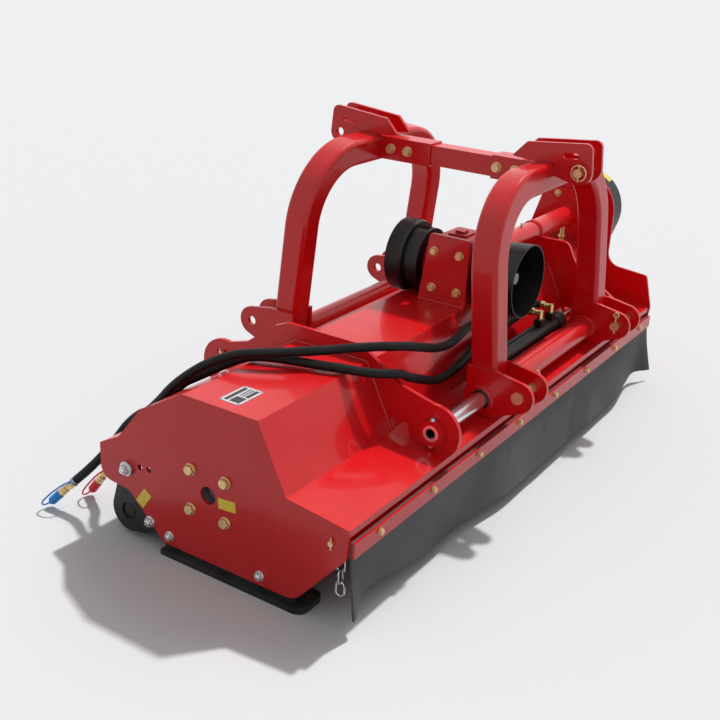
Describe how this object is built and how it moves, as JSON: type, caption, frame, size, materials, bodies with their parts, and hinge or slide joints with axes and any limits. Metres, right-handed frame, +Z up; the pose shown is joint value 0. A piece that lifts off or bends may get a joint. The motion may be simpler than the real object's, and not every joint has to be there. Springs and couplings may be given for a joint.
{
  "type": "flail mower",
  "caption": "Side-shift flail mower: red deck with hammer rotor, rear roller, skids, rubber flap, belt drive, double drive shaft and a sliding hitch frame with an arch on each side",
  "frame": {"origin": "ground level under the middle of the machine's box, measured without the hoses", "axes": "+X runs along the deck from the end away from the belt drive to the belt drive, +Y from the flap side to the roller side, +Z up"},
  "size_m": [2.0865, 1.0854, 1],
  "materials": {
    "red_paint": "glossy red powder coat",
    "gearbox_paint": "red paint on a casting",
    "black_paint": "satin black paint",
    "black_plastic": "moulded black plastic",
    "black_rubber": "matt black rubber",
    "hose_cover": "black woven hose sleeve",
    "zinc": "yellow-passivated zinc plate",
    "chrome": "hard chrome",
    "bare_steel": "machined steel",
    "brass": "plated hydraulic fitting",
    "data_plate": "plain foil without lettering",
    "blue_plastic": "soft blue dust cap",
    "red_plastic": "soft red dust cap"
  },
  "bodies": {
    "deck": {"deck_shell": "red_paint", "near_end_plate": "red_paint", "far_end_plate": "red_paint", "near_slide_bracket": "red_paint", "far_slide_bracket": "red_paint", "flap_side_rod": "chrome", "roller_side_rod": "chrome", "rod_collars": "red_paint", "collar_bolts": "zinc", "gearbox_stand": "red_paint", "gearbox_housing": "gearbox_paint", "gearbox_plug": "gearbox_paint", "drive_bearings": "bare_steel", "torque_tube": "red_paint", "drive_belts": "black_rubber", "belt_guard": "black_paint", "flap_side_shield": "black_plastic", "roller_side_shield": "black_plastic", "rotor_bearings": "bare_steel", "end_plate_bolts": "zinc", "drive_bolts": "zinc", "skid_runners": "black_paint", "roller_brackets": "black_paint", "flap_rail": "red_paint", "flap_strip": "red_paint", "strip_bolts": "zinc", "rubber_flap": "black_rubber", "chain_rod": "zinc", "data_plate": "data_plate", "piston_rod": "chrome", "hose_a": "hose_cover", "hose_b": "hose_cover", "hose_couplers": "bare_steel", "blue_cap": "blue_plastic", "red_cap": "red_plastic"},
    "input_drive": {"input_shaft": "bare_steel", "input_gear": "bare_steel"},
    "cross_drive": {"cross_shaft": "bare_steel", "cross_pinion": "bare_steel", "drive_pulley": "bare_steel"},
    "rotor": {"rotor_drum": "red_paint", "hammer_bolts": "zinc", "driven_pulley": "bare_steel"},
    "hammer_row_a": {"hammers_a": "black_paint"},
    "hammer_row_b": {"hammers_b": "black_paint"},
    "hammer_row_c": {"hammers_c": "black_paint"},
    "ground_roller": {"roller": "black_paint"},
    "chain_guard": {"chain_strands": "zinc"},
    "hitch_frame": {"flap_side_arch": "red_paint", "roller_side_arch": "red_paint", "slide_sleeves": "red_paint", "sleeve_bushes": "black_plastic", "lower_lugs": "red_paint", "top_link_plates": "red_paint", "mast_tube": "red_paint", "mast_bolts": "zinc", "hitch_pins": "zinc", "pin_clips": "zinc", "cylinder_barrel": "black_paint", "port_elbows": "brass"}
  },
  "joints": [
    {"name": "side_shift", "type": "slide", "parent": "deck", "child": "hitch_frame", "axis": [1, 0, 0], "range_m": [-0.235, 0.03]},
    {"name": "rotor_spin", "type": "hinge", "parent": "deck", "child": "rotor", "pos_m": [0, 0.012, 0.225], "axis": [1, 0, 0], "continuous": true},
    {"name": "cross_spin", "type": "hinge", "parent": "deck", "child": "cross_drive", "pos_m": [0.3712, -0.064, 0.575], "axis": [1, 0, 0], "continuous": true},
    {"name": "input_spin", "type": "hinge", "parent": "deck", "child": "input_drive", "pos_m": [0.0712, -0.064, 0.575], "axis": [0, 1, 0], "continuous": true},
    {"name": "hammer_swing_a", "type": "hinge", "parent": "rotor", "child": "hammer_row_a", "pos_m": [0, 0.0986, 0.275], "axis": [1, 0, 0], "range_deg": [-3, 110]},
    {"name": "hammer_swing_b", "type": "hinge", "parent": "rotor", "child": "hammer_row_b", "pos_m": [0, -0.0746, 0.275], "axis": [1, 0, 0], "range_deg": [-110, 3]},
    {"name": "hammer_swing_c", "type": "hinge", "parent": "rotor", "child": "hammer_row_c", "pos_m": [0, 0.012, 0.125], "axis": [1, 0, 0], "range_deg": [-100, 100]},
    {"name": "roller_spin", "type": "hinge", "parent": "deck", "child": "ground_roller", "pos_m": [0, 0.293, 0.075], "axis": [1, 0, 0], "continuous": true},
    {"name": "chain_swing", "type": "hinge", "parent": "deck", "child": "chain_guard", "pos_m": [0, -0.358, 0.233], "axis": [1, 0, 0], "range_deg": [-5, 20]}
  ],
  "couplings": [
    {"joint": "cross_spin", "follows": "rotor_spin", "ratio": 0.82278},
    {"joint": "input_spin", "follows": "rotor_spin", "ratio": -0.27426}
  ]
}
